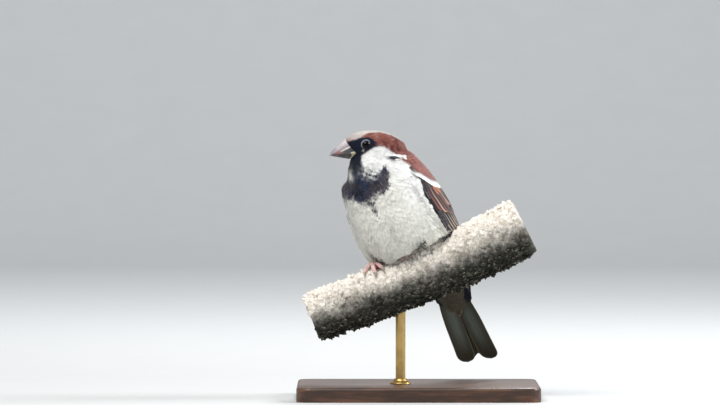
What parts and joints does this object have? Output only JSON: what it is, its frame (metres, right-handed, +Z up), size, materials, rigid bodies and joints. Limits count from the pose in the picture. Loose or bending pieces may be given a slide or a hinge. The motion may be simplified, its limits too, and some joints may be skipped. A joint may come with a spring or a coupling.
{
  "type": "house sparrow model on a display stand",
  "caption": "Life-size adult male house sparrow, head turned to its right, perched on a short sloping length of branch over a flat base and rod.",
  "frame": {"origin": "middle of the base's underside, which is the bottom centre of the whole object's box", "axes": "+X to the high end of the perch, which is the bird's left; +Y backwards, towards the tail; +Z up"},
  "size_m": [0.124, 0.1, 0.1373],
  "materials": {
    "head_feathers": "soft feathers, chestnut, grey, black and white",
    "neck_feathers": "soft feathers, black bib and white collar",
    "body_feathers": "soft off-white and grey feathers",
    "wing_feathers": "vaned feathers, chestnut, black, buff and white",
    "tail_feathers": "vaned feathers, grey brown",
    "leg": "scaled skin with horn claws",
    "eye": "wet, very dark brown",
    "bill": "satin horn",
    "bark": "rough scaly bark",
    "stand_wood": "satin dark wood",
    "stand_brass": "brushed brass"
  },
  "bodies": {
    "root": {"head": "head_feathers", "neck": "neck_feathers", "trunk": "body_feathers", "tail": "tail_feathers", "wing_left": "wing_feathers", "wing_right": "wing_feathers", "leg_left": "leg", "leg_right": "leg", "eye_left": "eye", "eye_right": "eye", "bill_upper": "bill", "bill_lower": "bill", "perch": "bark", "stand_base": "stand_wood", "stand_rod": "stand_brass"}
  },
  "joints": []
}
